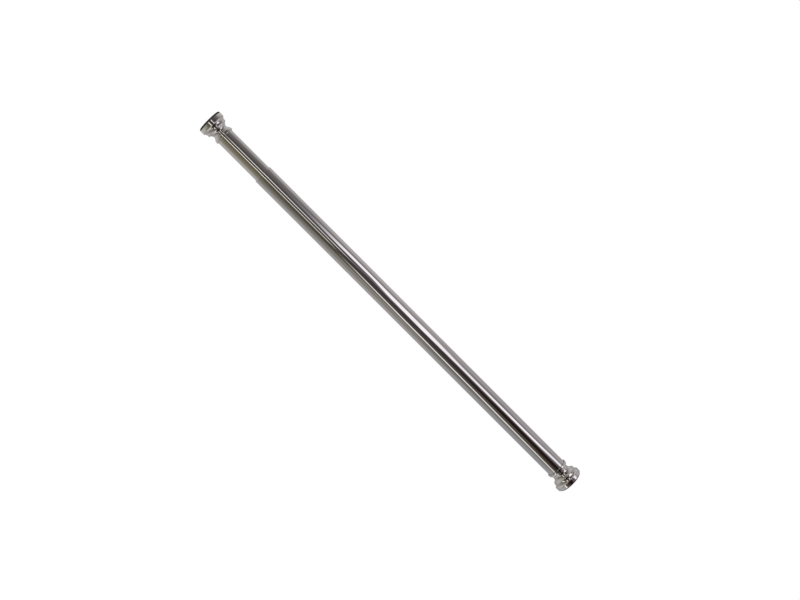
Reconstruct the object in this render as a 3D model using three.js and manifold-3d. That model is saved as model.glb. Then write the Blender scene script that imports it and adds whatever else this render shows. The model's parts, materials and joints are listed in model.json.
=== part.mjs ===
// Doorway pull-up bar: two chromed tubes that telescope between two turned end flanges with
// rubber faces. The outer tube turns by hand. A screw spindle fixed inside it turns too, and
// runs in a nut pinned into the inner tube, so the inner tube is pushed out until both rubber
// faces press on the door frame. Both flanges stay still: the outer tube swivels on a screw.
//
// Millimetres. The bar lies along X with the sliding foot at -X and the fixed foot at +X,
// +Z is up, and the origin is the middle of the bar at the length it is drawn with.
import * as THREE from 'three';
import { mergeVertices } from 'three/addons/utils/BufferGeometryUtils.js';
import Module from 'manifold-3d';

// ---- Driving dimensions ----

// Tubes
const innerTubeDiameter = 25.4;
const innerTubeWall = 1.5;
const innerTubeLength = 480;
const outerTubeWall = 1.2;
const mouthChamfer = 0.3;
const innerTubeShown = 72.55; // between the sliding foot's collar and the outer tube's mouth
const outerTubeShown = 580.05; // between the outer tube's mouth and the fixed foot's collar

// Clearances
const slidingGap = 0.1; // radial, tube in tube and plug in tube
const runningGap = 0.3; // radial, a screw or spindle in its hole, a tube in its collar
const faceGap = 0.05; // axial, between faces that turn on each other
const pinGap = 0.3; // radial, a pin in its hole

// Screw mechanism
const threadLead = 4;
const turnsOut = 70; // from the drawn length to the stop
const spindleDiameter = 14;
const nutLength = 24;
const spindleSeatDepth = 14; // how far the spindle reaches into the outer tube's plug
const screwTipRoom = 5; // between the spindle's end and the swivel screw's tip
const journalDiameter = 8; // the turned-down free end of the spindle
const journalOverhang = 1.5;
const stopWasherThickness = 2;
const guideThickness = 6;
const endNutFlats = 13;
const endNutHeight = 6.5;

// Pins
const pinDiameter = 2.5;
const pinCover = 0.15; // how far a pin's end lies under the tube's surface
const pinBite = 4.4; // how deep a pin goes into an end plug
const nutPinBite = 1.9;
const spindlePinDiameter = 4;

// Foot screws: one size holds both flanges
const screwDiameter = 8;
const screwHeadDiameter = 13;
const screwHeadHeight = 5;
const screwReach = 12; // how far the screw goes into the end plug
const socketFlats = 6;
const socketDepthInHead = 3;
const washerDiameter = 14.5;
const washerThickness = 1.6;
const thrustWasherThickness = 1;
const chamberGap = 1.2; // around the washer, inside the flange

// Flange parts that both feet share
const socketIntoNeck = 0.3; // the share of the neck's length that the tube's socket reaches
const webThickness = 7.5;
const ringEdge = 0.4;
const rimCrown = 0.25;
const faceLand = 2.6; // the metal left round the rubber's seat
const padSeatDepth = 3;
const padPlugLength = 3;
const padEdge = 0.8;
const padGrooveCount = 3;
const padGrooveWidth = 1;
const padGrooveDepth = 0.7;

// The two flanges are turned to one pattern in two sizes. Lengths run from the collar's lip:
// a rounded bead, a hollow neck, a step out to a plain ring, a cove, and the wide rim. The
// bead starts at the lip's wall: a high wall and a short run make it steep. The rubber has a
// brim that stands out of the flange and comes within brimInset of the rim's own radius.
const fixedForm = {
  collarWall: 1.15,
  neckDip: 2.6,
  flareRise: 3.75,
  ringStep: 2.3,
  rimStep: 2.8,
  lipWall: 0.6,
  lipRun: 1,
  beadLength: 2.95,
  neckLength: 6.7,
  flareLength: 6.3,
  ringLength: 3.55,
  coveLength: 3.1,
  rimLength: 4.75,
  rimEdge: 0.8,
  brimInset: 1.4,
  padProud: 1.8,
};
const slidingForm = {
  collarWall: 1.35,
  neckDip: 2.9,
  flareRise: 3.5,
  ringStep: 1.75,
  rimStep: 2.8,
  lipWall: 0.95,
  lipRun: 0.4,
  beadLength: 2.75,
  neckLength: 6.85,
  flareLength: 5.35,
  ringLength: 3.05,
  coveLength: 4.15,
  rimLength: 6.4,
  rimEdge: 0.5,
  brimInset: 0.35,
  padProud: 2.7,
};

// Facets round a full turn
const tubeFacets = 48;
const flangeFacets = 40;
const smallFacets = 20;
const pinFacets = 12;
const hexFacets = 6;
const curveSteps = 4; // along each curve of a flange's outline

// ---- Sizes worked out from those ----

const innerTubeRadius = innerTubeDiameter / 2;
const innerBore = innerTubeRadius - innerTubeWall;
const outerBore = innerTubeRadius + slidingGap;
const outerTubeRadius = outerBore + outerTubeWall;

const spindleRadius = spindleDiameter / 2;
const journalRadius = journalDiameter / 2;
const screwRadius = screwDiameter / 2;
const screwHole = screwRadius + runningGap;
const washerRadius = washerDiameter / 2;
const chamberRadius = washerRadius + chamberGap;
const pinRadius = pinDiameter / 2;
const spindlePinRadius = spindlePinDiameter / 2;
const nutRadius = innerBore - slidingGap;

const fixedFlange = flangeSizes(fixedForm, outerTubeRadius);
const slidingFlange = flangeSizes(slidingForm, innerTubeRadius);

// Where things lie along the bar, first from the sliding foot's rubber face.
const slidingCollarFromFace = slidingForm.padProud + slidingFlange.length;
const mouthFromFace = slidingCollarFromFace + innerTubeShown;
const fixedCollarFromFace = mouthFromFace + outerTubeShown;
const overallLength = fixedCollarFromFace + fixedFlange.length + fixedForm.padProud;

const slidingCollarX = slidingCollarFromFace - overallLength / 2;
const mouthX = mouthFromFace - overallLength / 2;
const fixedCollarX = fixedCollarFromFace - overallLength / 2;

const fixedSeat = fixedFlange.socketDepth - thrustWasherThickness - faceGap;
const outerTubeEndX = fixedCollarX + fixedSeat;
const innerTubeEndX = slidingCollarX - slidingFlange.socketDepth;
const innerTubeTipX = innerTubeEndX + innerTubeLength;
const nutX = innerTubeTipX - nutLength;
const spindleShoulderX = nutX - threadLead * turnsOut;
const screwTipX = fixedCollarX + fixedFlange.socketDepth - screwReach;
const spindleDriveX = screwTipX - screwTipRoom;
const outerPlugBackX = spindleDriveX - spindleSeatDepth;

// The sizes of a flange that fits over a tube of the given radius.
function flangeSizes(form, tubeRadius) {
  const socketRadius = tubeRadius + runningGap;
  const beadRadius = socketRadius + form.collarWall;
  const neckRadius = beadRadius - form.neckDip;
  const ringRadius = beadRadius + form.ringStep;
  const rimRadius = ringRadius + form.rimStep;
  const neckAt = form.beadLength + form.neckLength;
  const stepAt = neckAt + form.flareLength;
  const ringEnd = stepAt + form.ringLength;
  const rimStart = ringEnd + form.coveLength;
  const length = rimStart + form.rimLength;
  return {
    socketRadius,
    socketDepth: form.beadLength + socketIntoNeck * form.neckLength,
    lipRadius: socketRadius + form.lipWall,
    beadRadius,
    lipRun: form.lipRun,
    beadAt: form.beadLength,
    neckRadius,
    neckAt,
    flareRadius: neckRadius + form.flareRise,
    stepAt,
    ringRadius,
    ringEnd,
    rimRadius,
    rimStart,
    rimEdge: form.rimEdge,
    length,
    seatRadius: rimRadius - faceLand,
    seatFloor: length - padSeatDepth,
    brimRadius: rimRadius - form.brimInset,
    faceAt: length + form.padProud,
  };
}

// ---- Materials ----

const chrome = new THREE.MeshStandardMaterial({ color: 0xc9cacc, roughness: 0.08, metalness: 1 });
const steel = new THREE.MeshStandardMaterial({ color: 0x9c9ea1, roughness: 0.35, metalness: 1 });
const rubber = new THREE.MeshStandardMaterial({ color: 0x161617, roughness: 0.8, metalness: 0 });
const nylon = new THREE.MeshStandardMaterial({ color: 0xe6e3da, roughness: 0.5, metalness: 0 });

// ---- Making and cutting solids ----

const wasm = await Module();
wasm.setup();
const WELD = 1e-4;

// A closed geometry as a manifold-3d solid.
function solidOf(geometry) {
  const bare = geometry.index ? geometry.toNonIndexed() : geometry.clone();
  bare.deleteAttribute('normal');
  bare.deleteAttribute('uv');
  const merged = mergeVertices(bare, WELD);
  const vertProperties = merged.attributes.position.array;
  const triVerts = new Uint32Array(merged.index.array);
  return new wasm.Manifold(new wasm.Mesh({ numProp: 3, vertProperties, triVerts }));
}

// A manifold-3d solid as a geometry.
function geometryOf(solid) {
  const mesh = solid.getMesh();
  const geometry = new THREE.BufferGeometry();
  geometry.setAttribute('position', new THREE.BufferAttribute(mesh.vertProperties, 3));
  geometry.setIndex(new THREE.BufferAttribute(mesh.triVerts, 1));
  geometry.computeVertexNormals();
  return geometry;
}

// The geometry with each of the tools cut out of it.
function cut(geometry, ...tools) {
  return geometryOf(tools.reduce((body, tool) => body.subtract(solidOf(tool)), solidOf(geometry)));
}

// A solid of revolution about X, from [along, radius] pairs. The profile runs along the
// outside towards +X and comes back along the inside, or ends on the axis.
function turned(profile, facets) {
  const points = profile.map(([along, radius]) => new THREE.Vector2(radius, along));
  return new THREE.LatheGeometry(points, facets).rotateZ(-Math.PI / 2);
}

// A plain rod along X.
function rod(radius, from, to, facets) {
  const geometry = new THREE.CylinderGeometry(radius, radius, to - from, facets);
  return geometry.rotateZ(-Math.PI / 2).translate((from + to) / 2, 0, 0);
}

// A plain ring about X.
function ring(bore, radius, from, to, facets) {
  const corners = [[from, bore], [from, radius], [to, radius], [to, bore], [from, bore]];
  return turned(corners, facets);
}

// A round pin or hole across the axis, on +Z for side 1 and on -Z for side -1.
function crossRod(radius, inner, outer, along, side) {
  const geometry = new THREE.CylinderGeometry(radius, radius, outer - inner, pinFacets);
  const middle = (side * (inner + outer)) / 2;
  return geometry.rotateX(Math.PI / 2).translate(along, 0, middle);
}

// ---- The bar, and its three moving groups ----

const bar = new THREE.Group();
const fixedFoot = new THREE.Group();
const turningTube = new THREE.Group();
const slidingTube = new THREE.Group();
bar.add(fixedFoot, turningTube, slidingTube);

function add(group, name, geometry, material) {
  const mesh = new THREE.Mesh(geometry, material);
  mesh.name = name;
  group.add(mesh);
  return mesh;
}

// ---- Feet ----

// A flange, with its lip at 0 and its face towards +X. Behind the lip is the tube's socket,
// then a web with the screw hole, then the chamber for the screw's head, closed by the rubber.
function flangeGeometry(size) {
  const outline = new THREE.Path();
  const bendAt = (size.beadAt + size.neckAt) / 2;
  const flareBend = size.neckAt + (size.stepAt - size.neckAt) * 0.55;
  const coveBend = (size.ringEnd + size.rimStart) / 2;
  const rimMiddle = (size.rimStart + size.length) / 2;
  const rimSide = size.rimRadius - rimCrown;

  outline.moveTo(0, size.socketRadius);
  outline.lineTo(0, size.lipRadius);
  outline.quadraticCurveTo(size.lipRun, size.beadRadius, size.beadAt, size.beadRadius);
  outline.bezierCurveTo(bendAt, size.beadRadius, bendAt, size.neckRadius, size.neckAt, size.neckRadius);
  outline.quadraticCurveTo(flareBend, size.neckRadius, size.stepAt, size.flareRadius);
  outline.lineTo(size.stepAt, size.ringRadius - ringEdge);
  outline.lineTo(size.stepAt + ringEdge, size.ringRadius);
  outline.lineTo(size.ringEnd, size.ringRadius);
  outline.quadraticCurveTo(coveBend, size.ringRadius, size.rimStart, rimSide);
  outline.quadraticCurveTo(rimMiddle, size.rimRadius + rimCrown, size.length - size.rimEdge, rimSide);
  outline.lineTo(size.length, rimSide - size.rimEdge);
  outline.lineTo(size.length, size.seatRadius + runningGap);
  outline.lineTo(size.seatFloor, size.seatRadius + runningGap);
  outline.lineTo(size.seatFloor, chamberRadius);
  outline.lineTo(size.socketDepth + webThickness, chamberRadius);
  outline.lineTo(size.socketDepth + webThickness, screwHole);
  outline.lineTo(size.socketDepth, screwHole);
  outline.lineTo(size.socketDepth, size.socketRadius);
  outline.closePath();

  const profile = outline.getPoints(curveSteps).map((point) => [point.x, point.y]);
  return turned(profile, flangeFacets);
}

// The rubber face: a disc in the flange's seat, held by a plug in the chamber. Its brim lies on
// the rim, and round grooves run between the brim's edge and the flat middle.
function padGeometry(size) {
  const plugRadius = chamberRadius - runningGap;
  const back = size.seatFloor - padPlugLength;
  const profile = [
    [back, 0],
    [back, plugRadius],
    [size.seatFloor, plugRadius],
    [size.seatFloor, size.seatRadius],
    [size.length, size.seatRadius],
    [size.length, size.brimRadius],
    [size.faceAt - padEdge, size.brimRadius],
    [size.faceAt, size.brimRadius - padEdge],
  ];
  const pitch = (size.brimRadius - plugRadius) / (padGrooveCount + 1);
  for (let groove = 1; groove <= padGrooveCount; groove++) {
    const radius = size.brimRadius - groove * pitch;
    profile.push([size.faceAt, radius + padGrooveWidth / 2]);
    profile.push([size.faceAt - padGrooveDepth, radius]);
    profile.push([size.faceAt, radius - padGrooveWidth / 2]);
  }
  profile.push([size.faceAt, 0]);
  return turned(profile, flangeFacets);
}

// The screw that holds a flange to its tube's plug: head in the chamber, with a hex socket.
function footScrewGeometry(size) {
  const headSeat = size.socketDepth + webThickness + washerThickness;
  const headTop = headSeat + screwHeadHeight;
  const profile = [
    [size.socketDepth - screwReach, 0],
    [size.socketDepth - screwReach, screwRadius],
    [headSeat, screwRadius],
    [headSeat, screwHeadDiameter / 2],
    [headTop, screwHeadDiameter / 2],
    [headTop, 0],
  ];
  const socketRadius = socketFlats / 2 / Math.cos(Math.PI / hexFacets);
  const socket = rod(socketRadius, headTop - socketDepthInHead, headTop + 1, hexFacets);
  return cut(turned(profile, smallFacets), socket);
}

function footWasherGeometry(size) {
  const seat = size.socketDepth + webThickness;
  return ring(screwHole, washerRadius, seat, seat + washerThickness, smallFacets);
}

// The flange, rubber, screw and washer of one foot, at a group whose X points to the face.
function addFoot(stillGroup, screwGroup, size, names) {
  add(stillGroup, names.flange, flangeGeometry(size), chrome);
  add(stillGroup, names.pad, padGeometry(size), rubber);
  add(screwGroup, names.screw, footScrewGeometry(size), steel);
  add(screwGroup, names.washer, footWasherGeometry(size), steel);
}

function placedGroup(parent, x, turn) {
  const group = new THREE.Group();
  group.position.x = x;
  group.rotation.z = turn;
  parent.add(group);
  return group;
}

addFoot(
  placedGroup(fixedFoot, fixedCollarX, 0),
  placedGroup(turningTube, fixedCollarX, 0),
  fixedFlange,
  { flange: 'fixed_flange', pad: 'fixed_pad', screw: 'swivel_screw', washer: 'swivel_washer' },
);

const slidingEnd = placedGroup(slidingTube, slidingCollarX, Math.PI);
addFoot(
  slidingEnd,
  slidingEnd,
  slidingFlange,
  { flange: 'sliding_flange', pad: 'sliding_pad', screw: 'flange_screw', washer: 'flange_washer' },
);

// The nylon washer that the end of the turning tube runs on, in the fixed flange's socket.
const thrustWasher = ring(
  screwHole,
  outerTubeRadius,
  fixedCollarX + fixedFlange.socketDepth - thrustWasherThickness,
  fixedCollarX + fixedFlange.socketDepth,
  tubeFacets,
);
add(fixedFoot, 'thrust_washer', thrustWasher, nylon);

// ---- Tubes, with the plugs and pins in their ends ----

// A tube with its outer corners broken at both ends.
function tubeGeometry(bore, radius, from, to) {
  return turned([
    [from, bore],
    [from, radius - mouthChamfer],
    [from + mouthChamfer, radius],
    [to - mouthChamfer, radius],
    [to, radius - mouthChamfer],
    [to, bore],
    [from, bore],
  ], tubeFacets);
}

const SIDES = { top: 1, bottom: -1 };

// Holes across the axis for a pair of pins, cut through everything from inner outwards.
function pinHoles(inner, along) {
  const outer = outerTubeRadius + pinDiameter;
  return Object.values(SIDES).map(
    (side) => crossRod(pinRadius + pinGap, inner - pinGap, outer, along, side),
  );
}

function addPins(group, name, inner, tubeRadius, along) {
  for (const [place, side] of Object.entries(SIDES)) {
    const pin = crossRod(pinRadius, inner, tubeRadius - pinCover, along, side);
    add(group, `${name}_${place}`, pin, steel);
  }
}

// A pair of pins, under the collar, holds each end plug in its tube.
const outerPinX = outerTubeEndX - fixedSeat / 2;
const outerPinInner = outerBore - pinBite;
const innerPinX = innerTubeEndX + slidingFlange.socketDepth / 2;
const innerPinInner = innerBore - pinBite;
const nutPinX = nutX + nutLength / 2;
const nutPinInner = nutRadius - nutPinBite;

const outerTube = tubeGeometry(outerBore, outerTubeRadius, mouthX, outerTubeEndX);
add(turningTube, 'outer_tube', cut(outerTube, ...pinHoles(outerPinInner, outerPinX)), chrome);
addPins(turningTube, 'outer_plug_pin', outerPinInner, outerTubeRadius, outerPinX);

const innerTube = tubeGeometry(innerBore, innerTubeRadius, innerTubeEndX, innerTubeTipX);
const innerTubeHoles = [...pinHoles(innerPinInner, innerPinX), ...pinHoles(nutPinInner, nutPinX)];
add(slidingTube, 'inner_tube', cut(innerTube, ...innerTubeHoles), chrome);
addPins(slidingTube, 'inner_plug_pin', innerPinInner, innerTubeRadius, innerPinX);
addPins(slidingTube, 'spindle_nut_pin', nutPinInner, innerTubeRadius, nutPinX);

// The outer tube's plug takes the swivel screw in one end and the spindle in the other.
const spindlePinX = (outerPlugBackX + spindleDriveX) / 2;
const plugRadius = outerBore - slidingGap;
const spindleSeat = rod(spindleRadius + runningGap, outerPlugBackX - 1, spindleDriveX + faceGap, tubeFacets);
const swivelHole = rod(screwHole, screwTipX - runningGap, outerTubeEndX + 1, smallFacets);

function spindlePinRod(gap) {
  const reach = plugRadius + gap;
  return new THREE.CylinderGeometry(
    spindlePinRadius + gap,
    spindlePinRadius + gap,
    2 * reach,
    smallFacets,
  ).translate(spindlePinX, 0, 0);
}

const outerPlug = cut(
  rod(plugRadius, outerPlugBackX, outerTubeEndX, tubeFacets),
  spindleSeat,
  swivelHole,
  spindlePinRod(pinGap),
  ...pinHoles(outerPinInner, outerPinX),
);
add(turningTube, 'outer_end_plug', outerPlug, steel);
add(turningTube, 'spindle_pin', spindlePinRod(-pinCover), steel);

// The inner tube's plug is shorter: it only takes the flange's screw.
const innerPlugLength = screwReach + journalOverhang;
const innerPlug = cut(
  rod(nutRadius, innerTubeEndX, innerTubeEndX + innerPlugLength, tubeFacets),
  rod(screwHole, innerTubeEndX - 1, innerTubeEndX + innerPlugLength + 1, smallFacets),
  ...pinHoles(innerPinInner, innerPinX),
);
add(slidingTube, 'inner_end_plug', innerPlug, steel);

// ---- Screw mechanism ----

// The spindle, from its seat in the plug to a shoulder and the thin journal past it.
const stackLength = stopWasherThickness + guideThickness + endNutHeight;
const journalTipX = spindleShoulderX - stackLength - journalOverhang;
const spindle = turned([
  [journalTipX, 0],
  [journalTipX, journalRadius],
  [spindleShoulderX, journalRadius],
  [spindleShoulderX, spindleRadius],
  [spindleDriveX, spindleRadius],
  [spindleDriveX, 0],
], smallFacets);
add(turningTube, 'spindle', cut(spindle, spindlePinRod(pinGap)), steel);

// On the journal: the washer that stops the nut, a nylon guide that keeps the spindle
// central in the inner tube, and a nut that holds both.
const stopWasherX = spindleShoulderX - stopWasherThickness;
const guideX = stopWasherX - guideThickness;
const endNutX = guideX - endNutHeight;
const journalHole = journalRadius + runningGap;
const stopWasherRadius = (spindleRadius + innerBore) / 2;
const stopWasher = ring(journalHole, stopWasherRadius, stopWasherX, spindleShoulderX, smallFacets);
add(turningTube, 'spindle_stop_washer', stopWasher, steel);

const guide = ring(journalHole, innerBore - runningGap, guideX, stopWasherX, tubeFacets);
add(turningTube, 'spindle_guide', guide, nylon);

const endNutRadius = endNutFlats / 2 / Math.cos(Math.PI / hexFacets);
const endNut = cut(
  rod(endNutRadius, endNutX, guideX, hexFacets),
  rod(journalHole, endNutX - 1, guideX + 1, smallFacets),
);
add(turningTube, 'spindle_end_nut', endNut, steel);

// The nut that the spindle drives, flush with the inner tube's tip.
const spindleNut = cut(
  rod(nutRadius, nutX, innerTubeTipX, tubeFacets),
  rod(spindleRadius + runningGap, nutX - 1, innerTubeTipX + 1, tubeFacets),
  ...pinHoles(nutPinInner, nutPinX),
);
add(slidingTube, 'spindle_nut', spindleNut, steel);

export default bar;
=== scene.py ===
# %% [markdown]
# # A chromed doorway pull-up bar
#
# Two tubes slide in each other between two turned flanges with rubber faces. The thick tube
# turns, and a screw inside it pushes the thin tube out until the bar grips a door frame.
#
# The imported model gives the fixed frame: where each piece lies, how large it is and which body
# it moves with. This script gives the six pieces that can be seen their fine shape and every piece
# its finish, and nothing is moved or resized. It is written as a lesson, one step at a time.

# %% Load the frame
import json
import math

import bpy
from mathutils import Matrix, Vector


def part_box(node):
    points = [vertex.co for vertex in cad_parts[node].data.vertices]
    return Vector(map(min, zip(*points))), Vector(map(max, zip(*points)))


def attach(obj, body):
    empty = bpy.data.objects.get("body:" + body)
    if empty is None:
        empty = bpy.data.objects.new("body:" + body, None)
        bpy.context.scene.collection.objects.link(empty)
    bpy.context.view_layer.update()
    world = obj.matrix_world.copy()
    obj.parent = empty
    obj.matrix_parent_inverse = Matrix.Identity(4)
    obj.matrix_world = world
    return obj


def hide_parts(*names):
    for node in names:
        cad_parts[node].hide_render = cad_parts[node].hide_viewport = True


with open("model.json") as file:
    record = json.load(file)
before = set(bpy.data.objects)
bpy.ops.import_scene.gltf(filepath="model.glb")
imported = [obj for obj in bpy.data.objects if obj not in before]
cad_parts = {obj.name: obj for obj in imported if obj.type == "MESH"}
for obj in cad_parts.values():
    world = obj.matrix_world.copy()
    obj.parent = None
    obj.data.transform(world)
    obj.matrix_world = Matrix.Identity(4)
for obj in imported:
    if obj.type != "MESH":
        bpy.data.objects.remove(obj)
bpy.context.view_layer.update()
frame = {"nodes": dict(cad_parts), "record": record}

MM = 0.001
FULL_TURN = 2 * math.pi

# %% [markdown]
# ## Sizes
#
# Some sizes are measured on the frame: the box of a tube gives its radius and its two ends, and
# the box of a flange gives its lip and its face. The rest, such as the height of a bead or the
# radius of an edge, is named here in millimetres, once.

# %% Sizes from the frame
outer_low, outer_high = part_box("outer_tube")
inner_low, inner_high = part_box("inner_tube")
OUTER_RADIUS = outer_high.z
INNER_RADIUS = inner_high.z
OUTER_WALL = 1.2 * MM
INNER_WALL = 1.5 * MM
SOCKET_GAP = 0.3 * MM
SCREW_HOLE = 4.3 * MM
CHAMBER_RADIUS = 8.45 * MM
WEB = 7.5 * MM

# Both flanges are turned to one pattern. Each row holds the fixed flange's size and the sliding
# one's, in millimetres. Lengths run from the collar's lip to the face.
FLANGE_SIZES = {
    "lip": (1.3, 0.5),  # where the lip starts
    "lip_wall": (1.1, 0.95),  # its flat end
    "lip_run": (0.1, 0.5),  # how far its rounding reaches along the bead
    "socket": (4.96, 4.8),  # how deep the tube stands in the flange
    "collar_wall": (1.2, 1.35),  # crest of the bead over the tube's socket
    "bead": (3.2, 2.75),  # end of the bead's crest
    "neck": (5.75, 7.1),  # run from there to the thinnest place
    "neck_dip": (2.65, 2.9),  # how far that place lies under the bead
    "flare": (7.0, 5.4),  # run of the flare
    "flare_rise": (3.75, 3.5),  # the flare's end over the thinnest place
    "ring": (0.7, 2.2),  # length of the plain ring
    "ring_step": (2.25, 1.75),  # the ring over the bead
    "cove": (5.4, 4.85),  # run of the hollow between ring and rim
    "rim_step": (2.75, 2.72),  # the rim over the ring
    "rim_edge": (0.5, 0.5),  # rounding between rim and face
    "crown": (0.03, 0.05),  # how much the rim bulges
    "seat": (18.0, 16.3),  # radius of the rubber's seat
    "brim": (19.05, 18.5),  # radius of the rubber's edge
    "pad_proud": (1.8, 2.7),  # how far the rubber stands out of the face
    "pad_edge": (1.2, 1.9),  # rounding of its edge
}
FIXED_FORM = {name: pair[0] * MM for name, pair in FLANGE_SIZES.items()}
SLIDING_FORM = {name: pair[1] * MM for name, pair in FLANGE_SIZES.items()}
# Where each cove turns up, as shares of its run and of its rise:
FIXED_FORM["cove_turn"] = (0.82, 0.06)
SLIDING_FORM["cove_turn"] = (0.66, 0.05)
FLARE_TURN = 0.55  # the share of the flare's run in which it stays low
RING_EDGE = 0.4 * MM
PAD_SEAT = 3.0 * MM
print("tubes: %.1f and %.1f mm across" % (2 * OUTER_RADIUS / MM, 2 * INNER_RADIUS / MM))

# %% [markdown]
# ## The camera
#
# The bar is long and thin, so the picture lays it along a diagonal by rolling the camera 45
# degrees. The camera stands towards the sliding foot: that foot is nearer, its rings look
# almost straight, and the rings of the far foot bow outwards. The camera faces the bar nearly
# square, which keeps the tube as thick at one end as at the other, and a small lens shift
# brings the bar back to the middle.

# %% Camera
CAMERA_SIDE = -0.175
CAMERA_BACK = 1.663
CAMERA_TURN = math.radians(3.0)
CAMERA_ROLL = math.radians(44.99)
LENS_MM = 54.0
LENS_SHIFT = (0.0663, -0.0519)

forward = Vector((math.sin(CAMERA_TURN), math.cos(CAMERA_TURN), 0))
level = Vector((math.cos(CAMERA_TURN), -math.sin(CAMERA_TURN), 0))
upright = Vector((0, 0, 1))
camera_right = level * math.cos(CAMERA_ROLL) + upright * math.sin(CAMERA_ROLL)
camera_up = upright * math.cos(CAMERA_ROLL) - level * math.sin(CAMERA_ROLL)
camera_place = Vector((CAMERA_SIDE, -CAMERA_BACK, 0))

bpy.ops.object.camera_add()
camera = bpy.context.active_object
camera.name = "camera"
camera.data.lens = LENS_MM
camera.data.shift_x, camera.data.shift_y = LENS_SHIFT
camera.data.clip_end = 100
turned = Matrix((camera_right, camera_up, -forward)).transposed()
camera.matrix_world = Matrix.Translation(camera_place) @ turned.to_4x4()
bpy.context.scene.camera = camera
bpy.context.scene.view_settings.view_transform = "Standard"
print("camera at", [round(x, 3) for x in camera_place])


# %% [markdown]
# ## Drawing and spinning an outline
#
# Tubes, flanges and rubber faces are all turned parts, so each is made the way a lathe makes
# it: half the outline is drawn once and spun about the bar's axis. An outline is a list of
# (along, radius) points. A curve is only a few of them along a formula, so its shape can be
# changed by moving its ends and the place it bends towards.

# %% Curves and straight runs
# How many strokes a curve takes: more where the chrome shows it large.
GROOVE_STEPS = 4
EDGE_STEPS = 5
FACE_STEPS = 6
LIP_STEPS = 8
BOW_STEPS = 10
COVE_STEPS = 14
NECK_STEPS = 18
CORNER_HOLD = 0.25 * MM


def curve(places, steps):
    """Points of a curve that leaves the first place and bends by those between to the last."""
    last = len(places) - 1
    points = []
    for i in range(1, steps + 1):
        t = i / steps
        weights = [math.comb(last, k) * (1 - t) ** (last - k) * t**k for k in range(last + 1)]
        points.append(tuple(sum(w * p[axis] for w, p in zip(weights, places)) for axis in (0, 1)))
    return points


def bend(start, corner, end, steps):
    """A curve that leaves start towards corner and arrives at end from it."""
    return curve((start, corner, end), steps)


def ess(start, end, steps):
    """An S-shaped curve that runs level at both its ends."""
    middle = (start[0] + end[0]) / 2
    return curve((start, (middle, start[1]), (middle, end[1]), end), steps)


def level_run(start, end):
    """A straight stretch to end, with a ring near each corner that keeps its shading straight."""
    length = math.dist(start, end)
    near = CORNER_HOLD / length
    places = (near, 1 - near, 1) if length > 3 * CORNER_HOLD else (1,)
    return [tuple(start[k] + (end[k] - start[k]) * t for k in (0, 1)) for t in places]


# %% [markdown]
# ### The pen and the lathe
#
# The pen is a plane merged down to one vertex, and each stroke extrudes that vertex. The lathe
# is the spin operator. It leaves a seam of doubled vertices and may turn faces inwards, so the
# doubles are merged and the normals recalculated before the curves are smoothed.

# %% Pen and lathe
ROUND_STEPS = 160
WELD = 1e-7
EDGE_ANGLE = math.radians(32)


def new_mesh(name):
    """A new mesh object in edit mode, with one vertex at the origin."""
    bpy.ops.object.select_all(action="DESELECT")
    bpy.ops.mesh.primitive_plane_add(size=MM)
    piece = bpy.context.active_object
    piece.name = piece.data.name = name
    bpy.ops.object.mode_set(mode="EDIT")
    bpy.ops.mesh.select_all(action="SELECT")
    bpy.ops.mesh.merge(type="CENTER")
    return piece


def draw(points):
    """Strokes from the selected vertex, which must be at the origin, through (along, radius)."""
    bpy.ops.transform.translate(value=(points[0][0], 0, points[0][1]))
    at = points[0]
    for point in points[1:]:
        stroke = (point[0] - at[0], 0, point[1] - at[1])
        bpy.ops.mesh.extrude_vertices_move(TRANSFORM_OT_translate={"value": stroke})
        at = point


def finish_mesh():
    """Merges doubles, turns every face outwards, leaves edit mode and smooths the curves."""
    bpy.ops.mesh.select_all(action="SELECT")
    bpy.ops.mesh.remove_doubles(threshold=WELD)
    bpy.ops.mesh.normals_make_consistent(inside=False)
    bpy.ops.object.mode_set(mode="OBJECT")
    bpy.ops.object.shade_smooth_by_angle(angle=EDGE_ANGLE)


def spun(name, outline):
    """A closed turned piece. The outline comes back to its start, or both ends are on the axis."""
    piece = new_mesh(name)
    draw(outline)
    bpy.ops.mesh.select_all(action="SELECT")
    bpy.ops.mesh.remove_doubles(threshold=WELD)
    bpy.ops.mesh.select_all(action="SELECT")
    bpy.ops.mesh.spin(steps=ROUND_STEPS, angle=FULL_TURN, center=(0, 0, 0), axis=(1, 0, 0))
    finish_mesh()
    print("%s: %d faces" % (name, len(piece.data.polygons)))
    return piece


def hand_over(piece, body, slot, *nodes):
    """The piece moves with the body and stands for the CAD nodes, which it hides. The slot is not
    used.
    """
    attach(piece, body)
    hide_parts(*nodes)


# %% [markdown]
# ## The tubes
#
# Each tube is a long thin shell. Its mouths are sawn and then broken with a small radius, and
# that radius matters: on chrome it is the thin bright line where the thick tube ends.

# %% Tubes
MOUTH_EDGE = 0.35 * MM


def tube_outline(start, end, radius, wall):
    """The closed outline of a tube's wall, with both mouths broken on the outside."""
    bore = radius - wall
    outline = [(start, bore), (start, radius - MOUTH_EDGE)]
    outline += bend(outline[-1], (start, radius), (start + MOUTH_EDGE, radius), EDGE_STEPS)
    outline += level_run(outline[-1], (end - MOUTH_EDGE, radius))
    outline += bend(outline[-1], (end, radius), (end, radius - MOUTH_EDGE), EDGE_STEPS)
    outline += [(end, bore), (start, bore)]
    return outline


outer_tube = spun(
    "outer_tube_shell", tube_outline(outer_low.x, outer_high.x, OUTER_RADIUS, OUTER_WALL)
)
hand_over(outer_tube, "turning_tube", "chrome_plate", "outer_tube")

inner_tube = spun(
    "inner_tube_shell", tube_outline(inner_low.x, inner_high.x, INNER_RADIUS, INNER_WALL)
)
hand_over(inner_tube, "sliding_tube", "chrome_plate", "inner_tube")


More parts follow.
